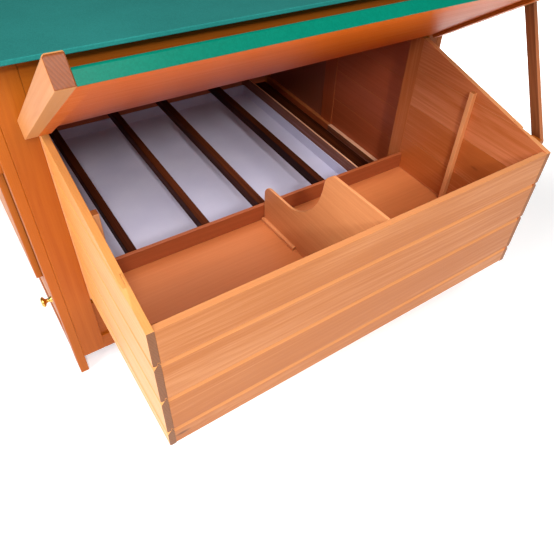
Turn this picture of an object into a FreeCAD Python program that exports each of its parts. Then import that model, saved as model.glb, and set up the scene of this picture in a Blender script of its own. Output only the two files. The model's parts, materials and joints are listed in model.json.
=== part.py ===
import FreeCAD, Part
import math
import os

# Rabbit hutch: a raised timber house with a nesting box on its front. Millimetres, +Z up, the
# nesting box looks along -Y, the side door and the pull-out tray are on -X.
# While it is drawn, X is counted from the nest's left face and Y from the nest's front face.
# At the end everything is moved so that the origin is the centre of the footprint, on the ground.

V = FreeCAD.Vector

# ---- nesting box ----
NEST_Z = 222.0          # underside of the nesting box above the ground
NEST_W = 874.0
NEST_D = 388.0          # from its front face to the house wall
NEST_H = 310.0          # height of its front
TOP_SLOPE = 13.45       # fall of the closed lid, degrees
BOARD_T = 12.0          # tongue and groove boards
BOARD_PITCH = 94.0
FIRST_BOARD = 46.0      # cut-down lowest board
CHAMFER_H = 8.5         # sloping shoulder at the top of a board
CHAMFER_D = 6.0
FOOT_H = 2.5            # small bevel at its foot
FOOT_D = 2.0
TONGUE_L = 5.0
TONGUE_T = 3.2
TONGUE_Y = 9.0          # middle of the tongue behind the show face
FIT = 0.3               # gap in board joints
FLOOR_Z = 46.0          # nest floor surface above the nest's underside
FLOOR_T = 9.0
BEARER = 18.0
LIP_T = 9.0
LIP_H = 44.0
LEFT_BATTEN = (217.0, 231.0)
RIGHT_BATTEN = (205.0, 217.0)
SIDE_BATTEN_TOP = 350.0
CORNER = 12.0
CORNER_TOP = 297.0
DIVIDER_X = 437.0       # left face of the divider at the nest's front
DIVIDER_T = 6.0
DIVIDER_SKEW = 2.5      # it stands a little askew, degrees
FOOT_BATTEN_W = 8.0
FOOT_BATTEN_H = 9.0
FOOT_BATTEN_Y = 252.0
MOUNT_Y = 42.0          # how far the nest's fixing battens reach into the house

# ---- house ----
LEFT = -68.0            # outer faces of the corner posts
RIGHT = 924.0
FRONT = NEST_D
BACK = 1165.0
POST_X = 18.0
POST_Y = 45.0
FRAME_T = 18.0
STILE_L = -2.0          # inner edge of the left front stile
STILE_R = 876.0         # inner edge of the right front stile
RAIL_LOW = 53.0         # bottom rails: lower and upper edge
RAIL_LOW_TOP = 95.0
MID_LOW = 202.0         # front middle rail, behind the nest floor
MID_TOP = 268.0
HEADER_LOW = 634.0
PLATE_LOW = 622.0       # lower edge of the side and back top rails
ROOF_Z = 754.0          # underside of the roof at the front wall
ROOF_SLOPE = 6.0
ROOF_T = 6.0
ROOF_OVER = 35.0
FELT = 2.0
FELT_DROP = 6.0
DOOR_RAIL = (232.0, 274.0)
SILL = (157.0, 197.0)
SILL_X = 896.0
WALL_STILE = (745.0, 800.0)

# ---- floor bars and tray ----
BAR_X = (115.0, 294.0, 448.0, 632.0)
BAR_W = 20.0
BAR_H = 30.0
BAR_TOP = 272.0
LEDGER = 18.0
TRAY_Z = 158.0          # underside of the tray
TRAY_WALL = 2.5
TRAY_H = 36.0
TRAY_Y = (436.5, 1116.5)
TRAY_X1 = 794.5
STOP_X = (795.5, 801.5)
STOP_TOP = 228.0
TRAY_FRONT = (98.0, 229.0)
TRAY_FRONT_IN = 2.0     # tray front lies this far behind the posts' outer face
FACING = 12.0           # thickness of door and tray front; the door stands proud of the posts
KNOB_Z = 160.0
KNOB_INSET = 57.0       # from the ends of the tray front

# ---- side door ----
DOOR_Y = (441.0, 1112.0)
DOOR_STILE = 35.0
DOOR_Z = (282.0, 614.0)
LEDGE_W = 45.0
LEDGE_T = 14.0
HINGE_Z = (340.0, 556.0)
HINGE_L = 60.0
BUTTON_Z = 570.0
BUTTON_L = 62.0

# ---- lid ----
PIVOT_Y = 384.0
PIVOT_N = 22.0          # hinge axis above the lid's underside
SEAT_GAP = 0.8          # closed lid above the nest's rim
LID_RISE = 35.0         # how far the open lid climbs towards the front, degrees
LID_S0 = 10.0           # lid begins this far in front of the hinge axis
LID_S1 = 430.0
LID_BATTEN = 8.0
LID_PLY = 8.0
LID_FELT = 1.5
LID_SIDE_W = 20.0
LID_SIDE_H = 33.0
LID_OVER = 6.0
LID_HINGES = (90.0, 437.0, 784.0)

# ---- hinges, screws ----
KNUCKLE_R = 4.0
PIN_R = 1.5
PIN_FIT = 0.05
LEAF_T = 1.5
LEAF_W = 26.0
SCREW_R = 1.6
SCREW_HEAD_R = 3.4
SCREW_HEAD_H = 1.0
SCREW_L = 9.0

# ---- prop ----
PROP_Y = 56.0
PROP_Z = 517.0
PROP_X = (907.0, 918.0)
PROP_R = 11.0           # half the width, and the radius of its ends
PEG_R = 5.0
PEG_S = 233.6           # peg in the lid's side board: distance from the hinge axis
PEG_N = 20.0            # and height above the lid's underside
PEG_GAP = 0.5
PROP_BLOCK_Y = (44.0, 68.0)
PROP_BLOCK_Z = (503.0, 527.0)

TAN = math.tan(math.radians(TOP_SLOPE))
COS = math.cos(math.radians(TOP_SLOPE))
ROOF_TAN = math.tan(math.radians(ROOF_SLOPE))
PIVOT_Z = NEST_Z + NEST_H + TAN * PIVOT_Y + (SEAT_GAP + PIVOT_N) / COS

NODES = {}


def box(x, y, z):
    """Box from three (low, high) pairs."""
    return Part.makeBox(x[1] - x[0], y[1] - y[0], z[1] - z[0], V(x[0], y[0], z[0]))


def cyl(radius, length, start, axis):
    return Part.makeCylinder(radius, length, start, axis)


def prism(points, direction):
    """Closed outline pushed along a direction."""
    wire = Part.makePolygon(list(points) + [points[0]])
    return Part.Face(wire).extrude(direction)


def softened(solid, direction, radius):
    """Round the long edges that run along one direction."""
    edges = []
    for edge in solid.Edges:
        ends = edge.Vertexes[-1].Point - edge.Vertexes[0].Point
        if ends.cross(direction).Length < 1e-6:
            edges.append(edge)
    return solid.makeFillet(radius, edges)


def add(name, *solids):
    NODES[name] = Part.makeCompound(list(solids)) if len(solids) > 1 else solids[0]


def cut(name, tools):
    NODES[name] = NODES[name].cut(Part.makeCompound(tools))


def board(length, low, high, tongue=True, groove=True):
    """Tongue and groove board along +X, show face on y = 0, tongue upwards."""
    mid = TONGUE_Y
    half = TONGUE_T / 2
    slot = half + FIT / 2
    pts = [(FOOT_D, low), (0, low + FOOT_H)]
    if tongue:
        pts += [(0, high - CHAMFER_H), (CHAMFER_D, high)]
        pts += [(mid - half, high), (mid - half, high + TONGUE_L)]
        pts += [(mid + half, high + TONGUE_L), (mid + half, high)]
    else:
        pts.append((0, high))
    pts += [(BOARD_T, high), (BOARD_T, low)]
    if groove:
        depth = TONGUE_L + 2 * FIT
        pts += [(mid + slot, low), (mid + slot, low + depth)]
        pts += [(mid - slot, low + depth), (mid - slot, low)]
    return prism([V(0, y, z) for y, z in pts], V(length, 0, 0))


def boards(length, edges):
    """Stack of boards between the given heights."""
    stack = []
    last = len(edges) - 2
    for i in range(last + 1):
        stack.append(board(length, edges[i], edges[i + 1] - FIT, i < last, i > 0))
    return stack


def stack_edges(low, first, high):
    """Board edges: a cut first board, full boards, and whatever is left on top."""
    edges = [low, low + first]
    while edges[-1] + BOARD_PITCH < high:
        edges.append(edges[-1] + BOARD_PITCH)
    return edges + [high]


def turned(shape, angle, move):
    """Turn about the Z axis, then move."""
    out = shape.copy()
    out.rotate(V(0, 0, 0), V(0, 0, 1), angle)
    out.translate(move)
    return out


def below_roof(shape):
    """Cut off what stands above the underside of the roof."""
    far = BACK + 200
    near = FRONT - 200
    top = [V(-200, near, roof_z(near)), V(-200, far, roof_z(far)), V(-200, far, 1500), V(-200, near, 1500)]
    return shape.cut(prism(top, V(1400, 0, 0)))


def roof_z(y):
    return ROOF_Z - ROOF_TAN * (y - FRONT)


def rim_z(y):
    """Top edge of the nest's sides."""
    return NEST_Z + NEST_H + TAN * y


def screw(point, into):
    """Round-head screw; the head sits on the point, the shank goes along into."""
    head = cyl(SCREW_HEAD_R, SCREW_HEAD_H, point - into * SCREW_HEAD_H, into)
    edge = [e for e in head.Edges if e.Length > 1 and (e.CenterOfMass - point).dot(into) < -0.5 * SCREW_HEAD_H]
    round_edge = [e for e in edge if len(e.Vertexes) == 1]
    head = head.makeFillet(0.6 * SCREW_HEAD_H, round_edge)
    return head.fuse(cyl(SCREW_R, SCREW_L, point, into)).removeSplitter()


def screw_hole(point, into):
    return cyl(SCREW_R + PIN_FIT, SCREW_L + FIT, point, into)


def hinge(length, leaf_a, leaf_b):
    """Butt hinge with its axis along X through the origin, centred on x = 0.

    leaf_a and leaf_b are the leaf plates before the knuckles are made; knuckles of five
    segments alternate between them, a hair apart. Returns fixed leaf, moving leaf, pin.
    """
    count = 5
    seg = length / count
    leaves = [leaf_a, leaf_b]
    for owner in (0, 1):
        other = [i for i in range(count) if i % 2 != owner]
        mine = [i for i in range(count) if i % 2 == owner]
        clear = []
        for i in other:
            start = -length / 2 + i * seg - FIT
            clear.append(cyl(KNUCKLE_R + FIT, seg + 2 * FIT, V(start, 0, 0), V(1, 0, 0)))
        knuckles = []
        for i in mine:
            start = -length / 2 + i * seg + FIT / 2
            knuckles.append(cyl(KNUCKLE_R, seg - FIT, V(start, 0, 0), V(1, 0, 0)))
        bore = cyl(PIN_R + PIN_FIT, length + 2, V(-length / 2 - 1, 0, 0), V(1, 0, 0))
        plate = leaves[owner].cut(Part.makeCompound(clear))
        leaves[owner] = plate.multiFuse(knuckles).cut(bore).removeSplitter()
    pin = cyl(PIN_R, length + 1, V(-length / 2 - 0.5, 0, 0), V(1, 0, 0))
    return leaves[0], leaves[1], pin


def placed(shape, turn_axis, angle, move):
    out = shape.copy()
    out.rotate(V(0, 0, 0), turn_axis, angle)
    out.translate(move)
    return out


# ================= nesting box =================
front_edges = stack_edges(NEST_Z, FIRST_BOARD, NEST_Z + NEST_H)
for number, plank in enumerate(boards(NEST_W - 2 * BOARD_T, front_edges), 1):
    plank.translate(V(BOARD_T, 0, 0))
    add("nest_front_board_%d" % number, plank)

side_high = rim_z(NEST_D)
side_edges = stack_edges(NEST_Z, FIRST_BOARD, side_high)
over = 50.0
waste = [V(-over, -over, rim_z(-over)), V(-over, NEST_D + over, rim_z(NEST_D + over)),
         V(-over, NEST_D + over, side_high + over), V(-over, -over, side_high + over)]
waste = prism(waste, V(NEST_W + 2 * over, 0, 0))
left = [turned(b, -90, V(0, NEST_D, 0)).cut(waste) for b in boards(NEST_D, side_edges)]
right = [turned(b, 90, V(NEST_W, 0, 0)).cut(waste) for b in boards(NEST_D, side_edges)]
add("nest_left_boards", *left)
add("nest_right_boards", *right)

inner_x = (BOARD_T, NEST_W - BOARD_T)
floor_top = NEST_Z + FLOOR_Z
add("nest_floor", box(inner_x, (BOARD_T, NEST_D), (floor_top - FLOOR_T, floor_top)))
bearer_z = (floor_top - FLOOR_T - BEARER, floor_top - FLOOR_T)
add("nest_floor_bearers",
    box(inner_x, (BOARD_T, BOARD_T + BEARER), bearer_z),
    box(inner_x, (NEST_D - BEARER, NEST_D), bearer_z))
lip = box(inner_x, (NEST_D - LIP_T, NEST_D), (floor_top, floor_top + LIP_H))
add("nest_back_lip", softened(lip, V(1, 0, 0), 1.5))
batten_z = (floor_top, NEST_Z + SIDE_BATTEN_TOP)
add("nest_side_battens",
    box((BOARD_T, 2 * BOARD_T), LEFT_BATTEN, batten_z),
    box((NEST_W - 2 * BOARD_T, NEST_W - BOARD_T), RIGHT_BATTEN, batten_z))
corner_z = (floor_top, NEST_Z + CORNER_TOP)
corner_y = (BOARD_T, BOARD_T + CORNER)
add("nest_corner_battens",
    box((BOARD_T, BOARD_T + CORNER), corner_y, corner_z),
    box((NEST_W - BOARD_T - CORNER, NEST_W - BOARD_T), corner_y, corner_z))

# divider: low towards the house, a scooped step, then full height towards the front
DIVIDER_BACK = NEST_D - LIP_T - 4 * FIT
DIVIDER_FRONT = BOARD_T + FIT
DIVIDER_TOP = 309.0
DIVIDER_LOW = 149.0
SCOOP = [(289.0, DIVIDER_LOW), (254.0, 158.0), (235.0, 171.5), (215.0, 191.0), (199.0, 214.0), (189.0, 239.0),
         (182.5, 270.0), (174.0, 296.0), (163.0, 306.0), (149.0, DIVIDER_TOP)]


def divider_point(y, z):
    return V(DIVIDER_X, y, NEST_Z + z)


def askew(shape):
    out = shape.copy()
    out.rotate(V(DIVIDER_X, DIVIDER_FRONT, 0), V(0, 0, 1), DIVIDER_SKEW)
    return out


curve = Part.BSplineCurve()
curve.interpolate([divider_point(y, z) for y, z in SCOOP],
                  InitialTangent=V(0, -1, 0), FinalTangent=V(0, -1, 0))
corner_r = 24.0
arc_mid = corner_r * (1 - math.cos(math.radians(45)))
round_back = Part.Arc(divider_point(DIVIDER_BACK, DIVIDER_LOW - corner_r),
                      divider_point(DIVIDER_BACK - arc_mid, DIVIDER_LOW - arc_mid),
                      divider_point(DIVIDER_BACK - corner_r, DIVIDER_LOW))
outline = [
    Part.makeLine(divider_point(DIVIDER_FRONT, DIVIDER_TOP), divider_point(DIVIDER_FRONT, FLOOR_Z)),
    Part.makeLine(divider_point(DIVIDER_FRONT, FLOOR_Z), divider_point(DIVIDER_BACK, FLOOR_Z)),
    Part.makeLine(divider_point(DIVIDER_BACK, FLOOR_Z), divider_point(DIVIDER_BACK, DIVIDER_LOW - corner_r)),
    round_back.toShape(),
    Part.makeLine(divider_point(DIVIDER_BACK - corner_r, DIVIDER_LOW), divider_point(*SCOOP[0])),
    curve.toShape(),
    Part.makeLine(divider_point(*SCOOP[-1]), divider_point(DIVIDER_FRONT, DIVIDER_TOP)),
]
add("nest_divider", askew(Part.Face(Part.Wire(outline)).extrude(V(DIVIDER_T, 0, 0))))
foot_x = (DIVIDER_X - FOOT_BATTEN_W, DIVIDER_X)
foot_batten = box(foot_x, (FOOT_BATTEN_Y, DIVIDER_BACK), (floor_top, floor_top + FOOT_BATTEN_H))
add("nest_divider_batten", askew(foot_batten))

mount_top = rim_z(NEST_D) - FIT
battens = []
for x in ((STILE_L, BOARD_T), (NEST_W - BOARD_T, STILE_R)):
    at_wall = box(x, (FRONT, FRONT + FRAME_T), (NEST_Z, mount_top))
    behind = box(x, (FRONT + FRAME_T, FRONT + MOUNT_Y), (BAR_TOP - BAR_H + 1, mount_top))
    battens.append(at_wall.fuse(behind).removeSplitter())
add("nest_mount_battens", *battens)

# ================= house frame =================
posts = []
for x0 in (LEFT, RIGHT - POST_X):
    for y0 in (FRONT, BACK - POST_Y):
        post = box((x0, x0 + POST_X), (y0, y0 + POST_Y), (0, ROOF_Z + over))
        posts.append(below_roof(softened(post, V(0, 0, 1), 1.5)))
add("corner_posts", *posts)

frame_y = (FRONT, FRONT + FRAME_T)
back_y = (BACK - FRAME_T, BACK)
low_z = (RAIL_LOW, RAIL_LOW_TOP)
tall = ROOF_Z + over
left_in = LEFT + POST_X
right_in = RIGHT - POST_X
stile_l = box((left_in, STILE_L), frame_y, (RAIL_LOW, tall))
stile_r = box((STILE_R, right_in), frame_y, (RAIL_LOW, tall))
stiles = [softened(s, V(0, 0, 1), 1.5) for s in (stile_l, stile_r)]
add("front_stiles", *[below_roof(s) for s in stiles])
add("front_header", below_roof(box((STILE_L, STILE_R), frame_y, (HEADER_LOW, tall))))
add("front_middle_rail", box(inner_x, frame_y, (MID_LOW, MID_TOP)))
lower_y = (FRONT + 6, FRONT + 6 + BOARD_T)

side_y = (FRONT + POST_Y, BACK - POST_Y)
left_x = (LEFT, left_in)
right_x = (right_in, RIGHT)
add("bottom_rails",
    box((STILE_L, STILE_R), frame_y, low_z),
    box((left_in, right_in), back_y, low_z),
    box(left_x, side_y, low_z),
    box(right_x, side_y, low_z))
add("left_middle_rail", box(left_x, side_y, DOOR_RAIL))
plates = [box(x, y, (PLATE_LOW, tall)) for x, y in
          ((left_x, side_y), (right_x, side_y), ((left_in, right_in), back_y))]
add("top_rails", *[below_roof(p) for p in plates])
add("lower_boards",
    box((STILE_L, STILE_R), lower_y, (RAIL_LOW_TOP, MID_LOW)),
    box((right_in + 3, right_in + 3 + BOARD_T), side_y, (RAIL_LOW_TOP, SILL[0])))
sill = box((SILL_X, RIGHT), (side_y[0], WALL_STILE[0]), SILL)
add("right_sill", softened(sill, V(0, 1, 0), 1.5))
wall_x = right_in + 3 + BOARD_T
section = WALL_STILE[0] - side_y[0]
wall_edges = stack_edges(SILL[1], BOARD_PITCH, PLATE_LOW)
add("right_wall_boards", *[turned(b, 90, V(wall_x, side_y[0], 0)) for b in boards(section, wall_edges)])
stile_x = (right_in + 1, right_in + 16)
add("right_wall_stile",
    box(stile_x, WALL_STILE, (SILL[1], PLATE_LOW)),
    box((SILL_X, RIGHT), (WALL_STILE[0], side_y[1]), SILL))
add("right_wall_panel", box((right_in + 4, right_in + 10), (WALL_STILE[1], side_y[1]), (SILL[1], PLATE_LOW)))
back_edges = stack_edges(RAIL_LOW_TOP, BOARD_PITCH, PLATE_LOW)
back_len = right_in - left_in
add("back_wall_boards", *[turned(b, 180, V(right_in, BACK - 2, 0)) for b in boards(back_len, back_edges)])

# ================= floor bars, tray bay =================
bar_y = (FRONT + FRAME_T, BACK - 2 - BOARD_T)
ledger_z = (BAR_TOP - BAR_H - LEDGER, BAR_TOP - BAR_H)
ledger_x = (left_in, SILL_X - 2)
add("bar_ledgers",
    box(ledger_x, (bar_y[0], bar_y[0] + LEDGER), ledger_z),
    box(ledger_x, (bar_y[1] - LEDGER, bar_y[1]), ledger_z))
bars = []
for x in BAR_X:
    bar = box((x - BAR_W / 2, x + BAR_W / 2), bar_y, (BAR_TOP - BAR_H, BAR_TOP))
    bars.append(softened(bar, V(0, 1, 0), 2.0))
add("floor_bars", *bars)
stop_y = (bar_y[0] + LEDGER, bar_y[1] - LEDGER)
add("tray_stop_board", box(STOP_X, stop_y, (TRAY_Z, STOP_TOP)))
runner_x = (left_in, STOP_X[0])
runner_z = (TRAY_Z - FIT - BEARER, TRAY_Z - FIT)
add("tray_runners",
    box(runner_x, (TRAY_Y[0] - 3.5, TRAY_Y[0] + 15), runner_z),
    box(runner_x, (TRAY_Y[1] - 15, TRAY_Y[1] + 3.5), runner_z))
add("bay_floor_board", box((STOP_X[1], SILL_X), stop_y, (TRAY_Z + 10, TRAY_Z + 10 + FLOOR_T)))

# ================= tray =================
tray_x0 = LEFT + TRAY_FRONT_IN + FACING
tray = box((tray_x0, TRAY_X1), TRAY_Y, (TRAY_Z, TRAY_Z + TRAY_H))
tray = softened(tray, V(0, 0, 1), 8.0)
wall = TRAY_WALL
hollow = box((tray_x0 + wall, TRAY_X1 - wall), (TRAY_Y[0] + wall, TRAY_Y[1] - wall),
             (TRAY_Z + wall, TRAY_Z + TRAY_H + 1))
tray = tray.cut(softened(hollow, V(0, 0, 1), 6.0))
add("tray_pan", tray)
tray_face_y = (side_y[0] + TRAY_FRONT_IN, side_y[1] - TRAY_FRONT_IN)
face = box((tray_x0 - FACING, tray_x0), tray_face_y, TRAY_FRONT)
add("tray_front", softened(face, V(0, 1, 0), 2.0))
KNOB_L = 22.5
knob_outline = [(7.5, 0), (6, 3), (4.6, 8), (5.6, 12.5), (10.5, 15.5), (12, 18), (10.5, 20.6), (5.5, 22.3)]
knob_pts = [V(-out, r, 0) for r, out in knob_outline]
knob_curve = Part.BSplineCurve()
knob_curve.interpolate(knob_pts)
knob_edges = [
    Part.makeLine(V(0, 0, 0), knob_pts[0]),
    knob_curve.toShape(),
    Part.makeLine(knob_pts[-1], V(-KNOB_L, 0, 0)),
    Part.makeLine(V(-KNOB_L, 0, 0), V(0, 0, 0)),
]
knob = Part.Face(Part.Wire(knob_edges)).revolve(V(0, 0, 0), V(1, 0, 0), 360)
knobs = []
for y in (tray_face_y[0] + KNOB_INSET, tray_face_y[1] - KNOB_INSET):
    one = knob.copy()
    one.translate(V(tray_x0 - FACING, y, KNOB_Z))
    knobs.append(one)
add("tray_knobs", *knobs)

# ================= side door =================
door_len = DOOR_Y[1] - DOOR_Y[0] - 2 * DOOR_STILE
door_edges = stack_edges(DOOR_Z[0], BOARD_PITCH - 20, DOOR_Z[1])
door_far = DOOR_Y[1] - DOOR_STILE
add("door_boards", *[turned(b, -90, V(LEFT - FACING, door_far, 0)) for b in boards(door_len, door_edges)])
door_x = (LEFT - FACING, LEFT)
door_stiles = [box(door_x, y, DOOR_Z) for y in
               ((DOOR_Y[0], DOOR_Y[0] + DOOR_STILE), (door_far, DOOR_Y[1]))]
add("door_stiles", *[softened(stile, V(0, 0, 1), 1.5) for stile in door_stiles])
ledge_x = (LEFT + FIT, LEFT + LEDGE_T)
ledge_z = (DOOR_RAIL[1] + 12, PLATE_LOW - 12)
add("door_ledges",
    box(ledge_x, (DOOR_Y[0] + 15, DOOR_Y[0] + 15 + LEDGE_W), ledge_z),
    box(ledge_x, (DOOR_Y[1] - 15 - LEDGE_W, DOOR_Y[1] - 15), ledge_z))
NODES["door_ledges"].translate(V(-FIT, 0, 0))
axis_x = LEFT - FACING - KNUCKLE_R
axis_y = DOOR_Y[1] + 1
fixed_plate = box((-HINGE_L / 2, HINGE_L / 2), (0, LEAF_W), (-KNUCKLE_R, -KNUCKLE_R + LEAF_T))
moving_plate = box((-HINGE_L / 2, HINGE_L / 2), (-LEAF_W, 0), (-KNUCKLE_R, -KNUCKLE_R + LEAF_T))
leaf_a, leaf_b, pin = hinge(HINGE_L, fixed_plate, moving_plate)
holes = []
screws = []
for z in HINGE_Z:
    for side in (-1, 1):
        for up in (-18, 18):
            point = V(axis_x + KNUCKLE_R - LEAF_T, axis_y + side * 17, z + up)
            holes.append(screw_hole(point, V(1, 0, 0)))
            screws.append((side, screw(point, V(1, 0, 0))))


def upright(shape, z):
    """Hinge drawn along X: stand it up, its leaves on the outer side of the wall."""
    out = shape.copy()
    out.rotate(V(0, 0, 0), V(0, 1, 0), -90)
    out.translate(V(axis_x, axis_y, z))
    return out


add("door_hinge_fixed", *[upright(leaf_a, z) for z in HINGE_Z])
add("door_hinge_moving", *[upright(leaf_b, z) for z in HINGE_Z])
door_pins = [upright(pin, z) for z in HINGE_Z]
pack_y = (DOOR_Y[1] + 2, DOOR_Y[1] + 30)
blocks = [box((LEFT - FACING, LEFT), pack_y, (z - 36, z + 36)) for z in HINGE_Z]
fixed_screws = [s for side, s in screws if side > 0]
add("door_hinge_screws", *[s for side, s in screws if side < 0])

button_y = FRONT + POST_Y - 11
block_z = (BUTTON_Z - 14, BUTTON_Z + 14)
blocks.append(box((LEFT - FACING, LEFT), (button_y - 9, button_y + 9), block_z))
button = box((LEFT - FACING - 8.5, LEFT - FACING - 0.5), (button_y - 8, button_y + 8),
             (BUTTON_Z - 16, BUTTON_Z + BUTTON_L - 16))
button = softened(button, V(1, 0, 0), 6.0)
button_point = V(LEFT - FACING - 8.6, button_y, BUTTON_Z)
pivot_hole = cyl(SCREW_R + PIN_FIT, 20, V(LEFT - FACING - 9, button_y, BUTTON_Z), V(1, 0, 0))
add("packing_blocks", *blocks)
add("turn_button", button)
for name in ("packing_blocks", "turn_button"):
    cut(name, [pivot_hole])
for name in ("door_hinge_fixed", "door_hinge_moving", "packing_blocks", "door_stiles"):
    cut(name, holes)
button_screw = screw(button_point, V(1, 0, 0))
button_screw = button_screw.fuse(cyl(SCREW_R, 17, button_point, V(1, 0, 0))).removeSplitter()
add("turn_button_screw", button_screw)

# ================= main roof =================
roof_x = (LEFT - ROOF_OVER, RIGHT + ROOF_OVER)
roof_len = BACK - FRONT + 2 * ROOF_OVER
panel = box(roof_x, (0, roof_len), (0, ROOF_T))
skin = box((roof_x[0] - FELT, roof_x[1] + FELT), (-FELT, roof_len + FELT), (ROOF_T - FELT_DROP, ROOF_T + FELT))
skin = softened(skin, V(1, 0, 0), 1.8)
skin = skin.cut(box(roof_x, (0, roof_len), (ROOF_T - FELT_DROP - 1, ROOF_T)))
roof_move = V(0, FRONT - ROOF_OVER, roof_z(FRONT - ROOF_OVER))
add("roof_panel", placed(panel, V(1, 0, 0), -ROOF_SLOPE, roof_move))
add("roof_felt", placed(skin, V(1, 0, 0), -ROOF_SLOPE, roof_move))

# ================= nest lid =================
# drawn flat: the hinge axis is the X axis, the lid reaches along -Y, then it is tipped up


def lid_box(x, s, n):
    return box(x, (-s[1], -s[0]), (n[0] - PIVOT_N, n[1] - PIVOT_N))


def tipped(shape):
    return placed(shape, V(1, 0, 0), -LID_RISE, V(0, PIVOT_Y, PIVOT_Z))


lid_x = (-LID_OVER, NEST_W + LID_OVER)
flap = 1.5
ply_s = (LID_S0, LID_S1 - flap)
ply_n = (LID_BATTEN, LID_BATTEN + LID_PLY)
felt_top = ply_n[1] + LID_FELT
FRONT_BATTEN_W = 43.0
SIDE_BATTEN_W = 20.0
front_s = (ply_s[1] - FRONT_BATTEN_W, ply_s[1])
lid_holes = []
lid_screws = []
header_holes = []
header_screws = []
for x in LID_HINGES:
    for along in (-20, 20):
        point = V(x + along, -19, felt_top + LEAF_T - PIVOT_N)
        lid_holes.append(screw_hole(point, V(0, 0, -1)))
        lid_screws.append(tipped(screw(point, V(0, 0, -1))))
        point = V(x + along, FRONT - LEAF_T, PIVOT_Z + 17)
        header_holes.append(screw_hole(point, V(0, 1, 0)))
        header_screws.append(screw(point, V(0, 1, 0)))
lid_hole_set = Part.makeCompound(lid_holes)
add("lid_panel", tipped(lid_box(lid_x, ply_s, ply_n).cut(lid_hole_set)))
add("lid_battens",
    tipped(lid_box(lid_x, front_s, (0, LID_BATTEN))),
    tipped(lid_box((lid_x[0], lid_x[0] + SIDE_BATTEN_W), (LID_S0, front_s[0]), (0, LID_BATTEN))),
    tipped(lid_box((lid_x[1] - SIDE_BATTEN_W, lid_x[1]), (LID_S0, front_s[0]), (0, LID_BATTEN))))
felt = lid_box(lid_x, (LID_S0, LID_S1), (0, felt_top))
front_top = [e for e in felt.Edges if e.CenterOfMass.y < -LID_S1 + 0.1
             and e.CenterOfMass.z > felt_top - PIVOT_N - 0.1]
felt = felt.makeFillet(4.0, front_top)
core = lid_box((lid_x[0] - 1, lid_x[1] + 1), (LID_S0 - 1, LID_S1 - flap), (-1, felt_top - LID_FELT))
core_top = [e for e in core.Edges if e.CenterOfMass.y < -LID_S1 + flap + 0.1
            and e.CenterOfMass.z > felt_top - LID_FELT - PIVOT_N - 0.1]
felt = felt.cut(core.makeFillet(2.5, core_top)).cut(lid_hole_set)
ply_round = lid_box(lid_x, ply_s, (0, ply_n[1]))
ply_round_top = [e for e in ply_round.Edges if e.CenterOfMass.y < -ply_s[1] + 0.1
                 and e.CenterOfMass.z > ply_n[1] - PIVOT_N - 0.1]
ply_round = tipped(ply_round.makeFillet(2.5, ply_round_top))
NODES["lid_panel"] = NODES["lid_panel"].common(ply_round)
add("lid_felt", tipped(felt))
for side, x0 in (("left", lid_x[0] - LID_SIDE_W), ("right", lid_x[1])):
    rail = lid_box((x0, x0 + LID_SIDE_W), (LID_S0, LID_S1), (0, LID_SIDE_H))
    nose = [e for e in rail.Edges if e.CenterOfMass.y < -LID_S1 + 0.1
            and e.CenterOfMass.z > LID_SIDE_H - PIVOT_N - 0.1]
    outer = x0 if side == "left" else x0 + LID_SIDE_W
    crest = [e for e in rail.Edges if abs(e.CenterOfMass.x - outer) < 0.1
             and abs(e.CenterOfMass.z - LID_SIDE_H + PIVOT_N) < 0.1]
    rail = rail.makeFillet(5.0, nose + crest)
    add("lid_side_" + side, tipped(rail))

lid_plate = box((-HINGE_L / 2, HINGE_L / 2), (-30, 0),
                (felt_top - PIVOT_N, felt_top - PIVOT_N + LEAF_T))
wall_plate = box((-HINGE_L / 2, HINGE_L / 2), (KNUCKLE_R - LEAF_T, KNUCKLE_R), (0, LEAF_W))
lid_plate.rotate(V(0, 0, 0), V(1, 0, 0), -LID_RISE)
leaf_a, leaf_b, pin = hinge(HINGE_L, wall_plate, lid_plate)
spots = [V(x, PIVOT_Y, PIVOT_Z) for x in LID_HINGES]
add("lid_hinge_fixed", *[placed(leaf_a, V(1, 0, 0), 0, p) for p in spots])
add("lid_hinge_moving", *[placed(leaf_b, V(1, 0, 0), 0, p) for p in spots])
add("hinge_pins", *door_pins, *[placed(pin, V(1, 0, 0), 0, p) for p in spots])
cut("lid_hinge_moving", [tipped(h) for h in lid_holes])
cut("lid_hinge_fixed", header_holes)
cut("front_header", header_holes)
add("lid_hinge_screws", *lid_screws)
add("frame_hinge_screws", *fixed_screws, *header_screws)

# ================= prop =================
# it turns on a screw beside the nest and carries the lid by a peg in the lid's side board
side_face = NEST_W + LID_OVER + LID_SIDE_W
peg_end = PROP_X[1] + 3.0
peg_start = side_face - 12.0
peg = tipped(cyl(PEG_R, peg_end - peg_start, V(peg_start, -PEG_S, PEG_N - PIVOT_N), V(1, 0, 0)))
add("lid_prop_peg", peg)
cut("lid_side_right", [peg])
reach_y = peg.BoundBox.Center.y - PROP_Y
reach_z = peg.BoundBox.Center.z - PROP_Z
prop_angle = math.degrees(math.atan2(reach_z, reach_y))
prop_len = math.hypot(reach_y, reach_z) - PEG_R - PEG_GAP - PROP_R
prop_t = PROP_X[1] - PROP_X[0]
prop = box((0, prop_t), (0, prop_len), (-PROP_R, PROP_R))
prop = prop.fuse(cyl(PROP_R, prop_t, V(0, 0, 0), V(1, 0, 0)))
prop = prop.fuse(cyl(PROP_R, prop_t, V(0, prop_len, 0), V(1, 0, 0))).removeSplitter()
prop = prop.cut(cyl(SCREW_R + PIN_FIT, prop_t + 2, V(-1, 0, 0), V(1, 0, 0)))
add("lid_prop", placed(prop, V(1, 0, 0), prop_angle, V(PROP_X[0], PROP_Y, PROP_Z)))
prop_point = V(PROP_X[1] + FIT, PROP_Y, PROP_Z)
prop_shank = prop_point.x - NEST_W + 8
prop_screw = screw(prop_point, V(-1, 0, 0))
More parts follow.
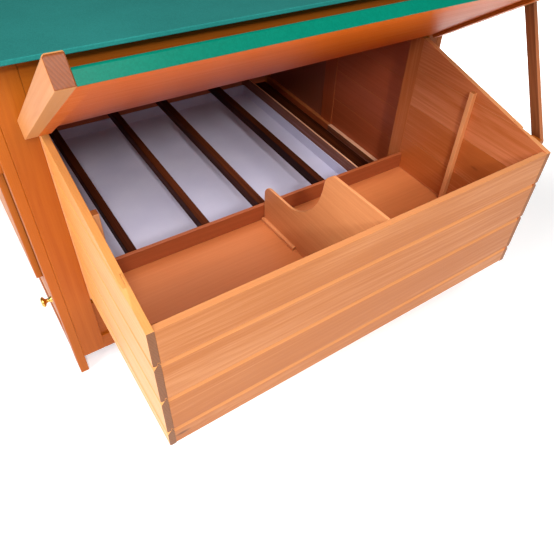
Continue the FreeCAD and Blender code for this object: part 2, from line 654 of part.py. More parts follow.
prop_screw = prop_screw.fuse(cyl(SCREW_R, prop_shank, prop_point, V(-1, 0, 0))).removeSplitter()
add("lid_prop_screw", prop_screw)
add("lid_prop_block", box((NEST_W, PROP_X[0] - 0.5), PROP_BLOCK_Y, PROP_BLOCK_Z))
for name in ("lid_prop_block", "nest_right_boards"):
    cut(name, [cyl(SCREW_R + PIN_FIT, prop_shank + FIT, prop_point, V(-1, 0, 0))])

# ================= origin and files =================
whole = FreeCAD.BoundBox()
for shape in NODES.values():
    whole.add(shape.BoundBox)
shift = V(-whole.Center.x, -whole.Center.y, 0)
print("shift", round(shift.x, 3), round(shift.y, 3), "pivot z", round(PIVOT_Z, 3), "prop", round(prop_angle, 2))
print("size", [round(v, 1) for v in (whole.XLength, whole.YLength, whole.ZLength)], "low", whole.ZMin)
os.makedirs("parts", exist_ok=True)
for name, shape in NODES.items():
    shape.translate(shift)
    shape.exportStep("parts/%s.step" % name)
print(len(NODES), "nodes")
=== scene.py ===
# %% [markdown]
# # A rabbit hutch in stained fir
#
# The hutch is a timber house on four legs. A nesting box hangs on its front, and the felted lid of that box is
# propped open, so one looks down into it. The exact shapes and sizes come from the CAD model, which is loaded first.
# Blender's work is everything that a saw and a brush leave behind: eased edges, grain that runs along each board,
# knots, end grain, a patchy stain, mineral felt, and the light.

# %% Load the frame
import json
import math
import random

import bmesh
import bpy
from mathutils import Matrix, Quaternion, Vector


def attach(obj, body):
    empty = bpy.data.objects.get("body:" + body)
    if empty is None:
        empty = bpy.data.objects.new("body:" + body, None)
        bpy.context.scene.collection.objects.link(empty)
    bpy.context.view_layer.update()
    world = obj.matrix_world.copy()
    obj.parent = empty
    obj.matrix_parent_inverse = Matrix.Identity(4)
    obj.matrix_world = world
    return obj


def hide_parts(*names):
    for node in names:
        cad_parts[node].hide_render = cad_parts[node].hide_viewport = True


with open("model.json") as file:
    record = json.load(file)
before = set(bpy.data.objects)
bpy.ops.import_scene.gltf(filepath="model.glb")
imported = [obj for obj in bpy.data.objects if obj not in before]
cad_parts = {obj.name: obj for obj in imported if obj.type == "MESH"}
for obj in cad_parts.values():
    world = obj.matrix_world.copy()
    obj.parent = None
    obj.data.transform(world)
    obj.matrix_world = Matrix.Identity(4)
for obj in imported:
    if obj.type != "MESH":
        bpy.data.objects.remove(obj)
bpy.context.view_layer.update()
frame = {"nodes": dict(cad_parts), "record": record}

# %% [markdown]
# ## Which way the grain runs
#
# A board is sawn along the trunk, so its grain always runs along its longest side. One material can serve every board
# if each board carries its own coordinates: along, across, and through. They could be a UV map, but wood is solid and
# its end grain has to meet its face grain, so three numbers at each vertex are the better choice. They are stored as
# a mesh attribute, and every loose board in a piece gets its own shift, so that no two boards show the same grain.
# Faces get three marks as well: sawn ends, narrow planed edges, which also carry a painted highlight, and faces that
# look into the house, which carry painted shade.

# %% Directions of the house and of the tipped lid
LID_RISE = math.radians(35.0)
HOUSE_AXES = (Vector((1, 0, 0)), Vector((0, 1, 0)), Vector((0, 0, 1)))
LID_AXES = (
    Vector((1, 0, 0)),
    Vector((0, -math.cos(LID_RISE), math.sin(LID_RISE))),
    Vector((0, math.sin(LID_RISE), math.cos(LID_RISE))),
)
MIDDLE = Vector((0.0, 0.0, 0.3))    # a point inside the house: faces turned towards it look inwards

# %% Which body each node belongs to
BODY_OF = {}
for body_name, members in frame["record"]["behaviour"]["bodies"].items():
    for member in members:
        BODY_OF[member] = body_name


# %% Loose boards of a piece
def loose_boards(bm):
    """Lists of vertices that hang together, in a fixed order."""
    seen = set()
    groups = []
    bm.verts.index_update()
    for start in bm.verts:
        if start.index in seen:
            continue
        seen.add(start.index)
        group = [start]
        for vert in group:
            for edge in vert.link_edges:
                other = edge.other_vert(vert)
                if other.index not in seen:
                    seen.add(other.index)
                    group.append(other)
        groups.append(group)
    return groups


# %% [markdown]
# ## Marking the faces
#
# A saw cuts three kinds of face on a board. The ends drink the stain, the narrow edges take little of it and also
# carry a painted highlight, and the broad faces lie between. A piece inside the house gets painted shade on the faces
# that look
# inwards: their colour is darkened where light seldom reaches. The direction of a face against the board's own axes
# tells which kind it is, so the marks are computed here once, and a material only has to read them. That keeps one
# material for every face, where separate materials would need an assignment by hand.

# %% Lay the grain and mark the faces
END_ON = 0.8          # how squarely a face has to cross the grain to count as end grain
BROAD = 0.7           # and how squarely it has to lie flat to count as a broad face
EDGE_FROM = 0.3       # narrow edges count from here
EDGE_RISE = 0.35      # and count fully this much later


def lay_grain(bm, axes, seed, shade_inward, rounded):
    """Store along, across and through, in metres, a tone for each board, and which faces are special."""
    grain = bm.verts.layers.float_vector.new("grain")
    tone = bm.verts.layers.float.new("tone")
    ends = bm.faces.layers.float.new("ends")
    edge = bm.faces.layers.float.new("edge")
    inner_shade = bm.faces.layers.float.new("inner_shade")
    bm.normal_update()
    dice = random.Random(seed)
    groups = loose_boards(bm)
    for group in groups:
        spans = []
        for axis in axes:
            reach = [vert.co.dot(axis) for vert in group]
            spans.append((max(reach) - min(reach), axis))
        spans.sort(key=lambda item: -item[0])
        shift = Vector((dice.uniform(0, 40), dice.uniform(0, 9), dice.uniform(0, 9)))
        board_tone = dice.random()
        along, across, through = (axis for _, axis in spans)
        for vert in group:
            local = Vector([vert.co.dot(axis) for _, axis in spans])
            vert[grain] = local + shift
            vert[tone] = board_tone
        for face in {face for vert in group for face in vert.link_faces}:
            face[ends] = 1.0 if abs(face.normal.dot(along)) > END_ON else 0.0
            narrow = min(1.0, max(0.0, abs(face.normal.dot(across)) - EDGE_FROM) / EDGE_RISE)
            broad = abs(face.normal.dot(through)) > BROAD
            inward = face.normal.dot(MIDDLE - face.calc_center_median()) > 0
            # broad faces of shaded pieces that look inwards are marked for painted shade
            face[inner_shade] = 1.0 if shade_inward and broad and inward else 0.0
            # narrow faces are marked to turn pale: part lost stain, part painted highlight
            face[edge] = 0.0 if face in rounded else narrow * (1.0 - face[inner_shade])
    return len(groups)


# %% [markdown]
# ## Easing the edges
#
# Planed timber never has a knife edge: a pass of sandpaper rounds it by about a millimetre, and that thin rounded line
# catches the light and makes wood look solid. A Bevel modifier would do it, but the CAD mesh is loose triangles. So a
# copy is welded, its flat faces are joined again, and `bmesh.ops.bevel` rounds the edges that are really sharp.

# %% Copy a CAD node with eased edges
SHARP = math.radians(28)
FLAT = math.radians(0.6)
WELD = 2e-6
EASE_WIDTH = 0.0010
EASE_STEPS = 2


def ease(bm):
    """Round every sharp edge, and return the faces that this makes."""
    sharp = []
    for edge in bm.edges:
        if len(edge.link_faces) == 2 and edge.calc_face_angle(0.0) > SHARP:
            sharp.append(edge)
    made = bmesh.ops.bevel(
        bm, geom=sharp, offset=EASE_WIDTH, offset_type="OFFSET", segments=EASE_STEPS, profile=0.5,
        affect="EDGES", clamp_overlap=True, material=-1, loop_slide=True,
    )
    return set(made["faces"])


def eased(node, finish, seed, axes=None, shade_inward=False):
    """A welded copy of a CAD node with rounded edges and grain, standing in for the node."""
    source = frame["nodes"][node]
    bm = bmesh.new()
    bm.from_mesh(source.data)
    bmesh.ops.remove_doubles(bm, verts=bm.verts, dist=WELD)
    bmesh.ops.dissolve_limit(bm, angle_limit=FLAT, verts=bm.verts, edges=bm.edges, use_dissolve_boundaries=False)
    rounded = ease(bm)
    axes = axes or (LID_AXES if BODY_OF[node] == "lid" else HOUSE_AXES)
    count = lay_grain(bm, axes, seed, shade_inward, rounded)
    bmesh.ops.triangulate(bm, faces=[f for f in bm.faces if len(f.verts) > 4])
    mesh = bpy.data.meshes.new(node + "_eased")
    bm.to_mesh(mesh)
    bm.free()
    for poly in mesh.polygons:
        poly.use_smooth = False
    mesh.materials.append(finish)
    piece = bpy.data.objects.new(mesh.name, mesh)
    bpy.context.scene.collection.objects.link(piece)
    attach(piece, BODY_OF[node])
    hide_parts(node)
    return piece, count


# %% [markdown]
# ## The stained fir
#
# Fir shows three things at once. Broad growth bands wander along the board, fine dark fibres lie in them, and every
# hand's width or so there is a knot that the bands flow around. The stain is a thin orange-brown coat that soaks in
# unevenly. An image could show all that, but a procedural material stays sharp at any distance and fits every board.
# The bands are a saw-tooth of the distance across the board, bent by slow noise, because growth rings darken slowly
# and then break off sharply. The fibres are noise stretched along the grain. The knots are cells of a Voronoi texture,
# stretched the same way, and only a few cells hold one.

# %% Small helpers for node trees
def shade(name):
    material = bpy.data.materials.new(name)
    material.use_nodes = True
    tree = material.node_tree
    return material, tree, tree.nodes["Principled BSDF"]


def put(tree, kind, values=None, **settings):
    node = tree.nodes.new(kind)
    for key, value in settings.items():
        setattr(node, key, value)
    for key, value in (values or {}).items():
        node.inputs[key].default_value = value
    return node


def link(tree, source, target):
    tree.links.new(source, target)


def ramp(tree, fac, stops):
    node = put(tree, "ShaderNodeValToRGB")
    elements = node.color_ramp.elements
    while len(elements) < len(stops):
        elements.new(0.5)
    for element, (place, colour) in zip(elements, stops):
        element.position = place
        element.color = (*colour, 1.0)
    link(tree, fac, node.inputs["Fac"])
    return node.outputs["Color"]


def mixed(tree, fac, one, two, mode="MIX"):
    node = put(tree, "ShaderNodeMix", data_type="RGBA", blend_type=mode)
    for value, socket in ((fac, node.inputs[0]), (one, node.inputs[6]), (two, node.inputs[7])):
        if hasattr(value, "links"):
            link(tree, value, socket)
        elif isinstance(value, tuple):
            socket.default_value = (*value, 1.0)
        else:
            socket.default_value = value
    return node.outputs[2]


def maths(tree, operation, one, two, clamp=False):
    node = put(tree, "ShaderNodeMath", operation=operation, use_clamp=clamp)
    for value, socket in ((one, node.inputs[0]), (two, node.inputs[1])):
        if hasattr(value, "links"):
            link(tree, value, socket)
        else:
            socket.default_value = value
    return node.outputs[0]


def plus(tree, one, two, clamp=False):
    return maths(tree, "ADD", one, two, clamp)


def minus(tree, one, two, clamp=False):
    return maths(tree, "SUBTRACT", one, two, clamp)


def times(tree, one, two, clamp=False):
    return maths(tree, "MULTIPLY", one, two, clamp)


def scaled(tree, vector, scale):
    node = put(tree, "ShaderNodeMapping", {"Scale": scale})
    link(tree, vector, node.inputs["Vector"])
    return node.outputs["Vector"]


def noise(tree, vector, scale, detail, rough):
    node = put(tree, "ShaderNodeTexNoise", {"Scale": scale, "Detail": detail, "Roughness": rough})
    link(tree, vector, node.inputs["Vector"])
    return node.outputs["Fac"]


def bump(tree, height, distance, strength):
    node = put(tree, "ShaderNodeBump", {"Distance": distance, "Strength": strength})
    link(tree, height, node.inputs["Height"])
    return node.outputs["Normal"]


# %% Knots and growth bands
KNOT_CELLS = (3.1, 11.0, 11.0)      # cells in a metre along, across and through
KNOT_RARE = 0.80                    # the share of cells that hold no knot
KNOT_REACH = 0.30                   # how far a knot bends the bands, in cells
KNOT_CORE = 0.055                   # and how wide its dark core is
BANDS_ACROSS = 95.0                 # growth bands in a metre of the board's width
BANDS_THROUGH = 260.0               # and of its thickness


def attribute(tree, name, output="Fac"):
    return put(tree, "ShaderNodeAttribute", attribute_name=name).outputs[output]


def knots_in(tree, grain):
    """How strongly a knot pulls the bands aside, and where its core lies."""
    cells = put(tree, "ShaderNodeTexVoronoi", {"Scale": 1.0, "Randomness": 0.9}, feature="F1")
    link(tree, scaled(tree, grain, KNOT_CELLS), cells.inputs["Vector"])
    pick = put(tree, "ShaderNodeSeparateColor")
    link(tree, cells.outputs["Color"], pick.inputs["Color"])
    chosen = maths(tree, "GREATER_THAN", pick.outputs["Red"], KNOT_RARE)
    away = cells.outputs["Distance"]
    pull = times(tree, times(tree, minus(tree, KNOT_REACH, away, clamp=True), 3.0), chosen)
    core = times(tree, times(tree, minus(tree, KNOT_CORE, away, clamp=True), 26.0, clamp=True), chosen)
    return pull, core


def late_wood(tree, grain, pull):
    """The dark part of each growth band: it rises slowly and breaks off sharply."""
    slow = noise(tree, scaled(tree, grain, (1.0, 8.0, 8.0)), 1.0, 2.0, 0.5)
    parts = put(tree, "ShaderNodeSeparateXYZ")
    link(tree, grain, parts.inputs["Vector"])
    place = plus(tree, times(tree, parts.outputs["Y"], BANDS_ACROSS), times(tree, parts.outputs["Z"], BANDS_THROUGH))
    bend = plus(tree, times(tree, slow, 13.0), times(tree, pull, 3.0))
    saw = maths(tree, "FRACT", plus(tree, place, bend), 0.0)
    late = times(tree, maths(tree, "POWER", saw, 2.6), minus(tree, 1.0, saw))
    return times(tree, late, 5.5, clamp=True)


# %% [markdown]
# ## Putting the stain together
#
# How dark a point is comes from five sources: the bands, long streaks, fine fibres, broad patches where the brush left
# more stain, and the board's own tone. They are added up as one density, and a colour ramp turns it into early wood,
# stain and late wood. The marks of the faces then change that colour: end grain darkens, narrow edges turn pale,
# partly lost stain and partly a painted highlight, and inward faces get painted shade. A ramp is easier to tune than
# several mixed colours, because it says directly what the palest and the darkest wood look like.

# %% The fir material
GRAIN_WEIGHTS = {"late": 0.09, "streak": 0.34, "fibre": 0.34, "patch": 0.45}
TONE_WEIGHT = 0.16
BASE_DENSITY = 0.40
FIBRE_RELIEF = 0.00016


def density(tree, late, streak, fibre, patch, tone, contrast):
    total = times(tree, late, GRAIN_WEIGHTS["late"] * contrast)
    for kind, field in (("streak", streak), ("fibre", fibre), ("patch", patch)):
        total = plus(tree, total, times(tree, minus(tree, field, 0.5), GRAIN_WEIGHTS[kind] * contrast))
    total = plus(tree, total, times(tree, minus(tree, tone, 0.5), TONE_WEIGHT))
    return plus(tree, total, BASE_DENSITY, clamp=True)


# the tint for inward faces is painted shade multiplied into their colour; the edge share pales narrow edges, part lost
# stain, part painted highlight
def fir(name, pale, mid, dark, cut, rough=0.42, knots=1.0, contrast=1.0, edges=0.55,
        inward_shade_tint=(0.80, 0.52, 0.50), spec=0.4):
    """Stained softwood: pale and dark are early and late wood, mid the stain between them, cut the end grain."""
    material, tree, surface = shade(name)
    grain = attribute(tree, "grain", "Vector")
    pull, core = knots_in(tree, grain)
    late = late_wood(tree, grain, pull)
    fibre = noise(tree, scaled(tree, grain, (16.0, 1100.0, 1100.0)), 1.0, 4.0, 0.6)
    streak = noise(tree, scaled(tree, grain, (1.6, 120.0, 120.0)), 1.0, 3.0, 0.55)
    patch = noise(tree, scaled(tree, grain, (2.5, 9.0, 9.0)), 1.0, 2.0, 0.5)
    dens = density(tree, late, streak, fibre, patch, attribute(tree, "tone"), contrast)

    colour = ramp(tree, dens, ((0.0, pale), (0.5, mid), (1.0, dark)))
    ring = times(tree, pull, 0.30 * knots, clamp=True)
    colour = mixed(tree, ring, colour, tuple(0.8 * c for c in dark))
    colour = mixed(tree, times(tree, core, 0.75 * knots), colour, tuple(0.35 * c for c in dark))

    # planed narrow edges take little stain and carry a painted highlight, end grain drinks it, inward faces get
    # painted shade
    colour = mixed(tree, times(tree, attribute(tree, "edge"), edges), colour, pale)
    colour = mixed(tree, attribute(tree, "inner_shade"), colour, mixed(tree, 1.0, colour, inward_shade_tint, "MULTIPLY"))
    pores = mixed(tree, late, cut, tuple(0.55 * c for c in cut))
    colour = mixed(tree, times(tree, attribute(tree, "ends"), 0.9), colour, pores)
    link(tree, colour, surface.inputs["Base Color"])

    gloss = plus(tree, times(tree, streak, 0.20), rough - 0.10, clamp=True)
    link(tree, gloss, surface.inputs["Roughness"])
    surface.inputs["Specular IOR Level"].default_value = spec
    relief = plus(tree, times(tree, late, 0.4), fibre)
    link(tree, bump(tree, relief, FIBRE_RELIEF, 0.7), surface.inputs["Normal"])
    return material


# %% [markdown]
# ## One wood, several stains
#
# The whole hutch is one kind of wood, but the nest's new boards are pale, the boards on its left end paler still,
# painted as the lit side, the frame is a deep orange, and the bars are nearly brown, their dark stain deepened by
# painted shade.
# Each finish is the same function with its own four colours: early wood, stain, late wood and end grain. What differs
# besides is how pale the narrow edges turn, part lost stain and part painted highlight, how much painted shade darkens
# the faces inside the house, and the gloss.

# %% The wood finishes
FRAME_COLOURS = ((0.46, 0.125, 0.010), (0.33, 0.070, 0.004), (0.23, 0.044, 0.002), (0.22, 0.05, 0.004))
PLY_COLOURS = ((0.69, 0.235, 0.076), (0.58, 0.178, 0.053), (0.46, 0.13, 0.036), (0.34, 0.11, 0.03))

# In these finishes the tint that multiplies inward faces is painted shade, and the edge share makes narrow edges pale,
# part lost stain and part painted highlight.
FRONT_FIR = fir(
    "stained_fir", (0.74, 0.34, 0.14), (0.43, 0.132, 0.023), (0.30, 0.075, 0.010), (0.26, 0.08, 0.008),
    edges=0.6, inward_shade_tint=(1.06, 0.86, 1.0), spec=0.3,
)
# the nest's left boards: a paler, less saturated copy of the front stain, painted light for the brightly lit side
LIT_SIDE_FIR = fir(
    "lit_side_fir", (0.80, 0.40, 0.13), (0.66, 0.28, 0.075), (0.50, 0.18, 0.040), (0.16, 0.040, 0.002), edges=0.0,
)
BOX_FIR = fir("box_fir", (0.84, 0.38, 0.16), (0.66, 0.245, 0.085), (0.48, 0.15, 0.042), (0.40, 0.13, 0.03))
RAIL_FIR = fir(
    "lid_rail_fir", (0.68, 0.31, 0.11), (0.52, 0.185, 0.052), (0.36, 0.11, 0.026), (0.19, 0.033, 0.001), spec=0.25,
)
FRAME_FIR = fir("frame_fir", *FRAME_COLOURS, edges=0.4, spec=0.18)
INNER_FIR = fir(
    "inner_fir", (0.62, 0.20, 0.06), (0.48, 0.13, 0.034), (0.32, 0.078, 0.018), (0.28, 0.08, 0.018), edges=0.0,
)
LID_FIR = fir(
    "lid_fir", (0.76, 0.165, 0.005), (0.64, 0.120, 0.003), (0.48, 0.076, 0.002), (0.40, 0.09, 0.01),
    edges=0.2, spec=0.15,
)
# bars, ledgers, runners and bay floor: nearly black, partly a dark stain and partly painted shade for the dim inside
# of the house
DARK_SHADED_FIR = fir(
    "dark_fir", (0.16, 0.036, 0.010), (0.022, 0.003, 0.001), (0.010, 0.002, 0.001), (0.03, 0.006, 0.002),
    rough=0.6, contrast=1.5, edges=0.15, spec=0.08,
)
LATH_FIR = fir(
    "lath_fir", (0.40, 0.13, 0.045), (0.12, 0.03, 0.006), (0.08, 0.015, 0.003), (0.16, 0.04, 0.010), edges=0.9,
)
LIP_FIR = fir("lip_fir", (0.46, 0.12, 0.036), (0.32, 0.072, 0.020), (0.20, 0.042, 0.012), (0.20, 0.05, 0.016))
# sill and tray stop: the very pale edge colour at full share is a painted highlight, the inward tint is painted shade
LIT_FIR = fir(
    "sill_fir", (0.90, 0.50, 0.30), (0.33, 0.075, 0.012), (0.22, 0.044, 0.008), (0.16, 0.04, 0.014),
    edges=1.0, inward_shade_tint=(0.58, 0.60, 1.0),
)
# walls: the tints on their inward faces are painted shade
WALL_PLY = fir("wall_ply", *PLY_COLOURS, knots=0.3, inward_shade_tint=(0.45, 0.35, 0.53))
WALL_FIR = fir(
    "wall_fir", (0.60, 0.21, 0.055), (0.42, 0.125, 0.023), (0.30, 0.075, 0.010), (0.26, 0.08, 0.008),
    inward_shade_tint=(0.91, 0.54, 0.74),
)
# skirt boards: their inward faces are made nearly black, a painted shade
SKIRT_FIR = fir("skirt_fir", *FRAME_COLOURS, inward_shade_tint=(0.10, 0.08, 0.50), spec=0.18)
PLY = fir("ply_veneer", *PLY_COLOURS, knots=0.3)
print("wood finishes ready")

# %% [markdown]
# ## Mineral felt
#
# Roofing felt is a bitumen sheet with crushed slate pressed into it. From a step away it is a matt green with a soft
# mottle; close by it sparkles grain by grain. So it gets two sizes of noise: a fine one for the chips, in colour and
# in relief, and a broad one for the worn, paler areas.

# %% The felt material
CHIP_SCALE = 620.0
CHIP_NOISE = 260.0
MOTTLE_SCALE = 5.0


def felt(name, deep, light, rough, relief, spec=0.3):
    material, tree, surface = shade(name)
    place = put(tree, "ShaderNodeTexCoord").outputs["Object"]
    chips = put(tree, "ShaderNodeTexVoronoi", {"Scale": CHIP_SCALE}, feature="F1")
    link(tree, place, chips.inputs["Vector"])
    split = put(tree, "ShaderNodeSeparateColor")
    link(tree, chips.outputs["Color"], split.inputs["Color"])
    fine = noise(tree, place, CHIP_NOISE, 3.0, 0.6)
    broad = noise(tree, place, MOTTLE_SCALE, 4.0, 0.55)
    mix = plus(tree, times(tree, split.outputs["Green"], 0.26), times(tree, fine, 0.26))
    mix = plus(tree, mix, times(tree, broad, 0.62), clamp=True)
    link(tree, ramp(tree, mix, ((0.15, deep), (0.95, light))), surface.inputs["Base Color"])
    link(tree, plus(tree, times(tree, fine, 0.2), rough - 0.1, clamp=True), surface.inputs["Roughness"])
    surface.inputs["Specular IOR Level"].default_value = spec
    height = minus(tree, 1.0, chips.outputs["Distance"])
    link(tree, bump(tree, height, relief, 0.7), surface.inputs["Normal"])
    return material


ROOF_FELT = felt("mineral_felt", (0.002, 0.13, 0.115), (0.018, 0.24, 0.215), 0.85, 0.00025)
LID_FELT = felt("smooth_felt", (0.0, 0.11, 0.070), (0.0, 0.17, 0.110), 0.34, 0.00002, spec=0.10)

# %% [markdown]
# ## Tray sheet, brass and zinc
#
# Three small finishes are left. The tray is a smooth moulded sheet that mirrors the bars above it softly. The knobs
# are polished brass with fine turning marks. Hinges and screws are zinc plated, grey with a faint bluish bloom.

# %% The other materials
MARKS_TURNED = 2600.0    # fine rings left by a lathe
MARKS_PLAIN = 500.0


def tray_sheet():
    material, tree, surface = shade("tray_sheet")
    place = put(tree, "ShaderNodeTexCoord").outputs["Object"]
    cloud = noise(tree, place, 7.0, 4.0, 0.5)
    link(tree, ramp(tree, cloud, ((0.3, (0.66, 0.64, 0.82)), (0.7, (0.76, 0.74, 0.90)))), surface.inputs["Base Color"])
    scuff = noise(tree, scaled(tree, place, (30.0, 6.0, 6.0)), 4.0, 3.0, 0.6)
    link(tree, plus(tree, times(tree, scuff, 0.10), 0.08), surface.inputs["Roughness"])
    link(tree, bump(tree, noise(tree, place, 9.0, 2.0, 0.5), 0.002, 0.25), surface.inputs["Normal"])
    return material


def metal(name, deep, light, rough, marks_along):
    material, tree, surface = shade(name)
    place = put(tree, "ShaderNodeTexCoord").outputs["Object"]
    cloud = noise(tree, place, 60.0, 4.0, 0.6)
    link(tree, ramp(tree, cloud, ((0.3, deep), (0.75, light))), surface.inputs["Base Color"])
    surface.inputs["Metallic"].default_value = 1.0
    link(tree, plus(tree, times(tree, cloud, 0.2), rough - 0.1, clamp=True), surface.inputs["Roughness"])
    marks = noise(tree, scaled(tree, place, (marks_along, 300.0, 300.0)), 1.0, 2.0, 0.5)
    link(tree, bump(tree, marks, 0.00008, 0.5), surface.inputs["Normal"])
    return material


TRAY_SHEET = tray_sheet()
BRASS = metal("knob_brass", (0.62, 0.36, 0.06), (0.86, 0.60, 0.17), 0.24, MARKS_TURNED)
ZINC = metal("zinc_plate", (0.42, 0.43, 0.44), (0.66, 0.66, 0.65), 0.38, MARKS_PLAIN)

# %% [markdown]
# ## Finishing the timber
#
# The nest's boards and the lid's side boards are the pale orange ones, the nest's left end paler still as a painted
# lit side, the house frame is a tone deeper, and the bars and the pieces around the tray are dark, a dark stain
# deepened by painted shade. The prop stands at its own slant, so it needs its own axes, or its grain would run across
# the stick.

# %% Wood for every timber node
TIMBER = {
    "nest_front_board_1": FRONT_FIR, "nest_front_board_2": FRONT_FIR, "nest_front_board_3": FRONT_FIR,
    "nest_front_board_4": FRONT_FIR, "nest_left_boards": LIT_SIDE_FIR, "nest_right_boards": FRONT_FIR,
    "nest_back_lip": LIP_FIR, "nest_side_battens": BOX_FIR, "nest_corner_battens": BOX_FIR,
    "nest_divider": BOX_FIR, "nest_divider_batten": BOX_FIR, "nest_floor": PLY, "nest_floor_bearers": FRAME_FIR,
    "nest_mount_battens": FRONT_FIR, "corner_posts": FRAME_FIR, "front_stiles": FRAME_FIR, "front_header": FRAME_FIR,
    "front_middle_rail": FRAME_FIR, "bottom_rails": FRAME_FIR, "left_middle_rail": FRAME_FIR, "top_rails": FRAME_FIR,
    "lower_boards": SKIRT_FIR, "right_sill": LIT_FIR, "right_wall_boards": WALL_FIR, "right_wall_stile": INNER_FIR,
    "right_wall_panel": WALL_PLY, "back_wall_boards": WALL_FIR, "bar_ledgers": DARK_SHADED_FIR, "floor_bars": DARK_SHADED_FIR,
    "tray_stop_board": LIT_FIR, "tray_runners": DARK_SHADED_FIR, "bay_floor_board": DARK_SHADED_FIR, "roof_panel": PLY,
    "packing_blocks": FRAME_FIR, "tray_front": FRONT_FIR, "door_boards": FRONT_FIR, "door_ledges": FRAME_FIR,
    "door_stiles": FRAME_FIR, "turn_button": FRAME_FIR, "lid_panel": LID_FIR, "lid_battens": LID_FIR,
    "lid_side_left": RAIL_FIR, "lid_side_right": RAIL_FIR, "lid_prop": LATH_FIR, "lid_prop_peg": RAIL_FIR,
    "lid_prop_block": FRAME_FIR,
}
SHADE_INWARD = {
    "nest_right_boards", "nest_left_boards", "nest_mount_battens", "right_wall_boards", "right_wall_panel",
    "right_wall_stile", "back_wall_boards", "door_boards", "tray_front", "top_rails", "front_header", "lower_boards",
    "right_sill", "tray_stop_board",
}

# %% Stand the finished copies in for the CAD nodes
PROP_LEAN = math.radians(62.7)
FIRST_SEED = 100
PROP_AXES = (
    Vector((1, 0, 0)),
    Vector((0, math.cos(PROP_LEAN), math.sin(PROP_LEAN))),
    Vector((0, -math.sin(PROP_LEAN), math.cos(PROP_LEAN))),
)
for number, (node, finish) in enumerate(TIMBER.items()):
    axes = PROP_AXES if node == "lid_prop" else None
    piece, count = eased(node, finish, seed=FIRST_SEED + number, axes=axes, shade_inward=node in SHADE_INWARD)
    print(node, count, "boards,", len(piece.data.polygons), "faces")

# %% [markdown]
# ## Finishing the rest
#
# Felt, sheet and metal need no grain and no eased edges: felt is soft and thin, and the hinges are only millimetres
# thick. So the CAD meshes stay as they are and just get a material in their slots.

# %% Metal, felt and sheet
OTHER = {
    "roof_felt": ROOF_FELT, "lid_felt": LID_FELT, "tray_pan": TRAY_SHEET, "tray_knobs": BRASS,
    "door_hinge_fixed": ZINC, "door_hinge_moving": ZINC, "lid_hinge_fixed": ZINC, "lid_hinge_moving": ZINC,
    "hinge_pins": ZINC, "door_hinge_screws": ZINC, "frame_hinge_screws": ZINC, "lid_hinge_screws": ZINC,
    "lid_prop_screw": ZINC, "turn_button_screw": ZINC,
}
for node, finish in OTHER.items():
    for place in frame["nodes"][node].material_slots:
        place.material = finish
    print(node, "wears", finish.name)

# %% [markdown]
# ## Floor, light and camera
#
# The floor glows a little, so that it stays white all around the hutch. Wood only looks like wood when every face has
# its own brightness, so four lights share the work. A large one far on the left is the strongest and models the
# nest's end. A small one in front stands high enough to shine in over the rim. A third, above the nest, fills the
# box. A weak one under the lid stands in for light that bounces between the walls. A fifth lamp only whitens the
# floor behind the house. One big light would be simpler, but it leaves the inside black or the front too bright.

# %% The floor
FLOOR_HALF = 6.0
FLOOR_GLOW = 0.30
bm = bmesh.new()
bmesh.ops.create_grid(bm, x_segments=1, y_segments=1, size=FLOOR_HALF)
floor_mesh = bpy.data.meshes.new("studio_floor")
bm.to_mesh(floor_mesh)
bm.free()
floor = bpy.data.objects.new("studio_floor", floor_mesh)
bpy.context.scene.collection.objects.link(floor)
floor_finish, _, floor_surface = shade("studio_white")
floor_surface.inputs["Base Color"].default_value = (0.92, 0.92, 0.92, 1.0)
floor_surface.inputs["Roughness"].default_value = 0.8
floor_surface.inputs["Emission Color"].default_value = (1.0, 1.0, 1.0, 1.0)
floor_surface.inputs["Emission Strength"].default_value = FLOOR_GLOW
floor.data.materials.append(floor_finish)

# %% The lights
WORLD_GLOW = 0.12
world = bpy.data.worlds.new("studio")
bpy.context.scene.world = world
world.use_nodes = True
world.node_tree.nodes["Background"].inputs["Color"].default_value = (1.0, 1.0, 1.0, 1.0)
world.node_tree.nodes["Background"].inputs["Strength"].default_value = WORLD_GLOW


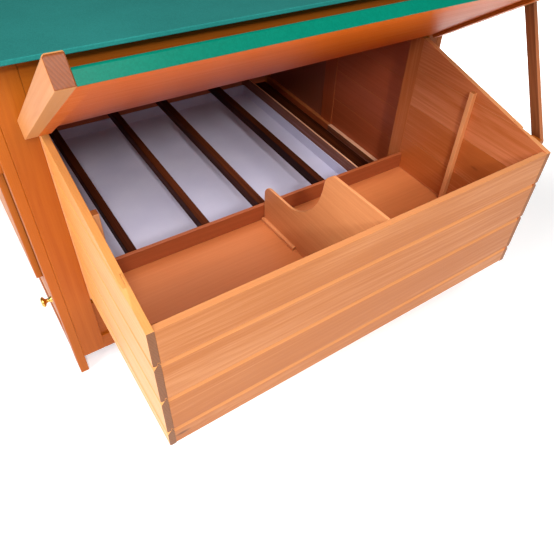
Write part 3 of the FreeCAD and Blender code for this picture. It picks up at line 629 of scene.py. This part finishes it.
def soft_light(name, place, target, size, power, colour=(1.0, 1.0, 1.0), spread=180.0):
    data = bpy.data.lights.new(name, "AREA")
    data.shape = "RECTANGLE"
    data.size, data.size_y = size
    data.energy = power
    data.color = colour
    data.spread = math.radians(spread)
    lamp = bpy.data.objects.new(name, data)
    lamp.location = place
    lamp.rotation_mode = "QUATERNION"
    lamp.rotation_quaternion = (Vector(target) - Vector(place)).to_track_quat("-Z", "Y")
    bpy.context.scene.collection.objects.link(lamp)
    print(name, "at", place, power, "W")


soft_light("left key", (-3.1, -0.85, 1.75), (-0.3, -0.4, 0.45), (1.6, 1.6), 98.0, (1.0, 0.99, 0.97))
soft_light("front", (-0.93, -2.80, 2.50), (0, 0.0, 0.30), (0.25, 0.25), 46.0)
soft_light("over the nest", (-0.35, -2.06, 2.85), (0, -0.41, 0.27), (1.2, 1.2), 60.0)
soft_light("inside", (0.0, -0.10, 0.62), (0.0, -0.05, 0.0), (0.7, 0.20), 0.62, spread=110.0)
soft_light("backdrop", (1.1, 0.6, 1.6), (3.0, 1.6, 0.0), (1.5, 1.5), 70.0, spread=120.0)

# %% [markdown]
# ## The camera
#
# The camera stands in front of the nest's left end, at a child's eye height, and looks down into the box at arm's
# length. It leans a few degrees, and a small shift puts the nest into the middle of the picture without turning it.

# %% The camera
LOOK_AZIMUTH = math.radians(39.09)
LOOK_DOWN = math.radians(43.42)
CAMERA_ROLL = math.radians(5.64)
camera_data = bpy.data.cameras.new("camera")
camera_data.lens = 34.88
camera_data.sensor_width = 36.0
camera_data.shift_x = -0.0558
camera_data.shift_y = -0.0540
camera = bpy.data.objects.new("camera", camera_data)
bpy.context.scene.collection.objects.link(camera)
look = Vector((
    math.sin(LOOK_AZIMUTH) * math.cos(LOOK_DOWN),
    math.cos(LOOK_AZIMUTH) * math.cos(LOOK_DOWN),
    -math.sin(LOOK_DOWN),
))
camera.location = (-0.5358, -1.0492, 1.1144)
camera.rotation_mode = "QUATERNION"
camera.rotation_quaternion = look.to_track_quat("-Z", "Y") @ Quaternion((0, 0, 1), CAMERA_ROLL)
bpy.context.scene.camera = camera
bpy.context.scene.view_settings.view_transform = "Standard"
